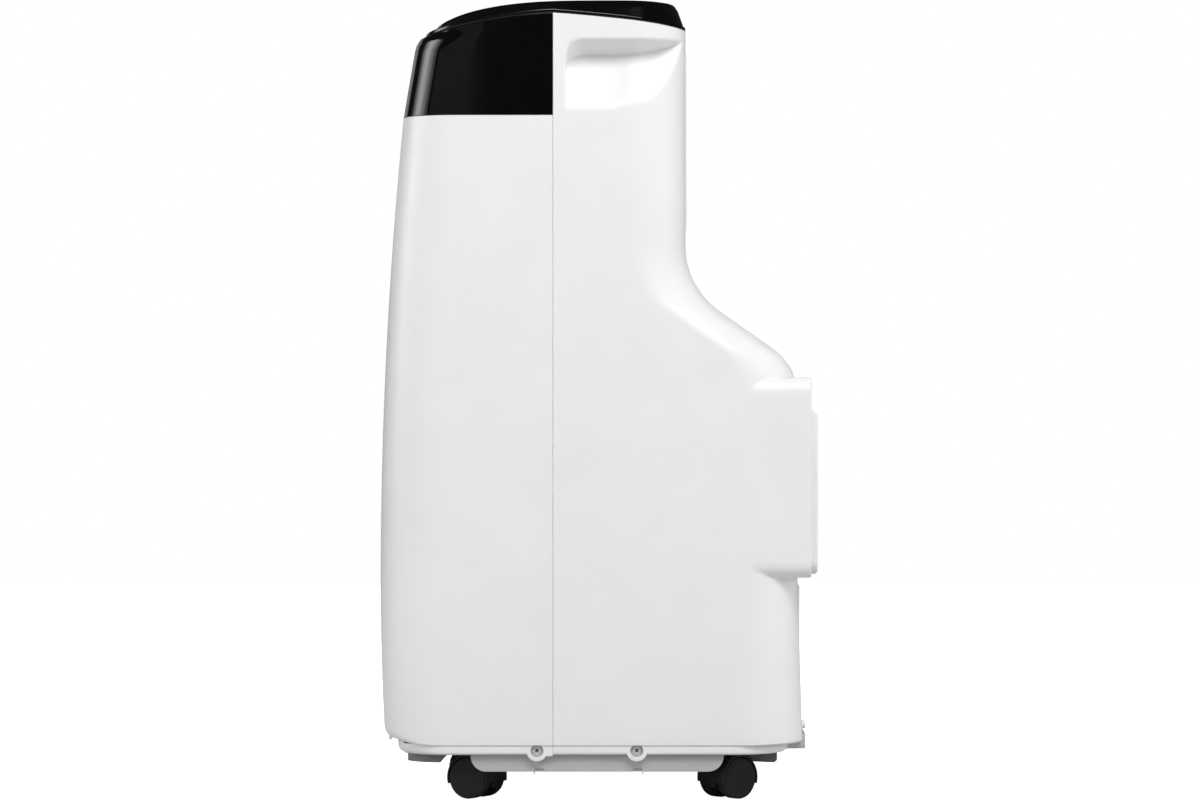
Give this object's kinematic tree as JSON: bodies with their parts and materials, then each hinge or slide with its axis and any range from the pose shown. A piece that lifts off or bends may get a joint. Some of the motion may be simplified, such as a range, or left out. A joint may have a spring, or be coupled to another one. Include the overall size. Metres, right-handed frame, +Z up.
{
  "type": "portable air conditioner",
  "caption": "Portable room air conditioner on swivel casters: white cabinet with a black head, side grips, a sloped neck and a rear exhaust hose socket.",
  "frame": {"origin": "on the floor under the middle of the bounding box", "axes": "+X to the unit's side at the viewer's right when the viewer faces its front, +Y to its back, +Z up"},
  "size_m": [0.45, 0.4275, 0.765],
  "materials": {
    "white_plastic": "moulded white with a soft gloss",
    "black_plastic": "high-gloss black",
    "dark_plastic": "satin black",
    "smoked_window": "smoked, polished",
    "grey_plastic": "light grey, fine texture",
    "nylon": "black nylon",
    "insulation": "moulded foam and plain plastic",
    "fin_pack": "bright fins",
    "copper_tube": "drawn copper",
    "steel": "zinc-plated",
    "painted_shell": "black stove enamel"
  },
  "bodies": {
    "cabinet": {"front_housing": "white_plastic", "front_panel": "white_plastic", "rear_housing": "white_plastic", "exhaust_collar": "white_plastic", "upper_cover": "black_plastic", "outlet_bezel": "black_plastic", "top_cap": "black_plastic", "outlet_duct": "dark_plastic", "louver_motor": "dark_plastic", "control_overlay": "smoked_window", "base_pan": "grey_plastic", "cord_gland": "nylon", "evaporator_scroll": "insulation", "condenser_scroll": "insulation", "drip_deck": "insulation", "control_box": "insulation", "evaporator": "fin_pack", "condenser": "fin_pack", "discharge_pipe": "copper_tube", "suction_pipe": "copper_tube", "evaporator_motor": "steel", "condenser_motor": "steel", "front_right_stem": "steel", "front_left_stem": "steel", "rear_right_stem": "steel", "rear_left_stem": "steel", "skirt_screw_right_1": "steel", "skirt_screw_left_1": "steel", "skirt_screw_right_2": "steel", "skirt_screw_left_2": "steel", "compressor": "painted_shell"},
    "caster_front_right": {"front_right_hood": "nylon"},
    "wheel_front_right_a": {"front_right_wheel_a": "nylon"},
    "wheel_front_right_b": {"front_right_wheel_b": "nylon"},
    "caster_front_left": {"front_left_hood": "nylon"},
    "wheel_front_left_a": {"front_left_wheel_a": "nylon"},
    "wheel_front_left_b": {"front_left_wheel_b": "nylon"},
    "caster_rear_right": {"rear_right_hood": "nylon"},
    "wheel_rear_right_a": {"rear_right_wheel_a": "nylon"},
    "wheel_rear_right_b": {"rear_right_wheel_b": "nylon"},
    "caster_rear_left": {"rear_left_hood": "nylon"},
    "wheel_rear_left_a": {"rear_left_wheel_a": "nylon"},
    "wheel_rear_left_b": {"rear_left_wheel_b": "nylon"},
    "louver": {"louver_flap": "black_plastic"},
    "vane_body_1": {"vane_1": "dark_plastic"},
    "vane_body_2": {"vane_2": "dark_plastic"},
    "vane_body_3": {"vane_3": "dark_plastic"},
    "vane_body_4": {"vane_4": "dark_plastic"},
    "vane_body_5": {"vane_5": "dark_plastic"},
    "vane_bar": {"vane_link": "dark_plastic"},
    "key_power": {"button_power": "dark_plastic"},
    "key_mode": {"button_mode": "dark_plastic"},
    "key_down": {"button_down": "dark_plastic"},
    "key_up": {"button_up": "dark_plastic"},
    "upper_intake": {"upper_filter": "white_plastic"},
    "lower_intake": {"lower_filter": "white_plastic"},
    "upper_drain": {"upper_drain_plug": "nylon"},
    "lower_drain": {"lower_drain_plug": "white_plastic"},
    "evaporator_rotor": {"evaporator_fan": "dark_plastic"},
    "condenser_rotor": {"condenser_fan": "dark_plastic"}
  },
  "joints": [
    {"name": "front_right_swivel", "type": "hinge", "parent": "cabinet", "child": "caster_front_right", "pos_m": [0.165, -0.128, 0.04], "axis": [0, 0, 1], "continuous": true},
    {"name": "front_right_roll_a", "type": "hinge", "parent": "caster_front_right", "child": "wheel_front_right_a", "pos_m": [0.173, -0.11414, 0.02], "axis": [-0.866, 0.5, 0], "continuous": true},
    {"name": "front_right_roll_b", "type": "hinge", "parent": "caster_front_right", "child": "wheel_front_right_b", "pos_m": [0.173, -0.11414, 0.02], "axis": [-0.866, 0.5, 0], "continuous": true},
    {"name": "front_left_swivel", "type": "hinge", "parent": "cabinet", "child": "caster_front_left", "pos_m": [-0.165, -0.128, 0.04], "axis": [0, 0, 1], "continuous": true},
    {"name": "front_left_roll_a", "type": "hinge", "parent": "caster_front_left", "child": "wheel_front_left_a", "pos_m": [-0.17485, -0.11539, 0.02], "axis": [-0.788, -0.6157, 0], "continuous": true},
    {"name": "front_left_roll_b", "type": "hinge", "parent": "caster_front_left", "child": "wheel_front_left_b", "pos_m": [-0.17485, -0.11539, 0.02], "axis": [-0.788, -0.6157, 0], "continuous": true},
    {"name": "rear_right_swivel", "type": "hinge", "parent": "cabinet", "child": "caster_rear_right", "pos_m": [0.165, 0.139, 0.04], "axis": [0, 0, 1], "continuous": true},
    {"name": "rear_right_roll_a", "type": "hinge", "parent": "caster_rear_right", "child": "wheel_rear_right_a", "pos_m": [0.17528, 0.12674, 0.02], "axis": [0.766, 0.6428, 0], "continuous": true},
    {"name": "rear_right_roll_b", "type": "hinge", "parent": "caster_rear_right", "child": "wheel_rear_right_b", "pos_m": [0.17528, 0.12674, 0.02], "axis": [0.766, 0.6428, 0], "continuous": true},
    {"name": "rear_left_swivel", "type": "hinge", "parent": "cabinet", "child": "caster_rear_left", "pos_m": [-0.165, 0.139, 0.04], "axis": [0, 0, 1], "continuous": true},
    {"name": "rear_left_roll_a", "type": "hinge", "parent": "caster_rear_left", "child": "wheel_rear_left_a", "pos_m": [-0.17348, 0.12543, 0.02], "axis": [0.848, -0.5299, 0], "continuous": true},
    {"name": "rear_left_roll_b", "type": "hinge", "parent": "caster_rear_left", "child": "wheel_rear_left_b", "pos_m": [-0.17348, 0.12543, 0.02], "axis": [0.848, -0.5299, 0], "continuous": true},
    {"name": "louver_hinge", "type": "hinge", "parent": "cabinet", "child": "louver", "pos_m": [0, -0.17146, 0.692], "axis": [1, 0, 0], "range_deg": [0, 80]},
    {"name": "vane_1_swing", "type": "hinge", "parent": "cabinet", "child": "vane_body_1", "pos_m": [-0.112, -0.133, 0.692], "axis": [0, 0, 1], "range_deg": [-35, 35]},
    {"name": "vane_2_swing", "type": "hinge", "parent": "cabinet", "child": "vane_body_2", "pos_m": [-0.056, -0.133, 0.692], "axis": [0, 0, 1], "range_deg": [-35, 35]},
    {"name": "vane_3_swing", "type": "hinge", "parent": "cabinet", "child": "vane_body_3", "pos_m": [0, -0.133, 0.692], "axis": [0, 0, 1], "range_deg": [-35, 35]},
    {"name": "vane_4_swing", "type": "hinge", "parent": "cabinet", "child": "vane_body_4", "pos_m": [0.056, -0.133, 0.692], "axis": [0, 0, 1], "range_deg": [-35, 35]},
    {"name": "vane_5_swing", "type": "hinge", "parent": "cabinet", "child": "vane_body_5", "pos_m": [0.112, -0.133, 0.692], "axis": [0, 0, 1], "range_deg": [-35, 35]},
    {"name": "vane_bar_pivot", "type": "hinge", "parent": "vane_body_1", "child": "vane_bar", "pos_m": [-0.112, -0.113, 0.7], "axis": [0, 0, 1], "range_deg": [-35, 35]},
    {"name": "power_press", "type": "slide", "parent": "cabinet", "child": "key_power", "axis": [0, 0.2313, -0.9729], "range_m": [0, 0.001], "stiffness_N_per_m": 400},
    {"name": "mode_press", "type": "slide", "parent": "cabinet", "child": "key_mode", "axis": [0, 0.2313, -0.9729], "range_m": [0, 0.001], "stiffness_N_per_m": 400},
    {"name": "down_press", "type": "slide", "parent": "cabinet", "child": "key_down", "axis": [0, 0.2313, -0.9729], "range_m": [0, 0.001], "stiffness_N_per_m": 400},
    {"name": "up_press", "type": "slide", "parent": "cabinet", "child": "key_up", "axis": [0, 0.2313, -0.9729], "range_m": [0, 0.001], "stiffness_N_per_m": 400},
    {"name": "upper_filter_slide", "type": "slide", "parent": "cabinet", "child": "upper_intake", "axis": [0, 1, 0], "range_m": [0, 0.06]},
    {"name": "lower_filter_slide", "type": "slide", "parent": "cabinet", "child": "lower_intake", "axis": [0, 1, 0], "range_m": [0, 0.06]},
    {"name": "upper_drain_pull", "type": "slide", "parent": "cabinet", "child": "upper_drain", "axis": [0, 1, 0], "range_m": [0, 0.03]},
    {"name": "lower_drain_pull", "type": "slide", "parent": "cabinet", "child": "lower_drain", "axis": [0, 1, 0], "range_m": [0, 0.03]},
    {"name": "evaporator_fan_spin", "type": "hinge", "parent": "cabinet", "child": "evaporator_rotor", "pos_m": [0, -0.04, 0.545], "axis": [0, 1, 0], "continuous": true},
    {"name": "condenser_fan_spin", "type": "hinge", "parent": "cabinet", "child": "condenser_rotor", "pos_m": [0.07, 0.07, 0.19], "axis": [0, 1, 0], "continuous": true}
  ],
  "couplings": [
    {"joint": "vane_2_swing", "follows": "vane_1_swing", "ratio": 1},
    {"joint": "vane_3_swing", "follows": "vane_1_swing", "ratio": 1},
    {"joint": "vane_4_swing", "follows": "vane_1_swing", "ratio": 1},
    {"joint": "vane_5_swing", "follows": "vane_1_swing", "ratio": 1},
    {"joint": "vane_bar_pivot", "follows": "vane_1_swing", "ratio": -1}
  ]
}
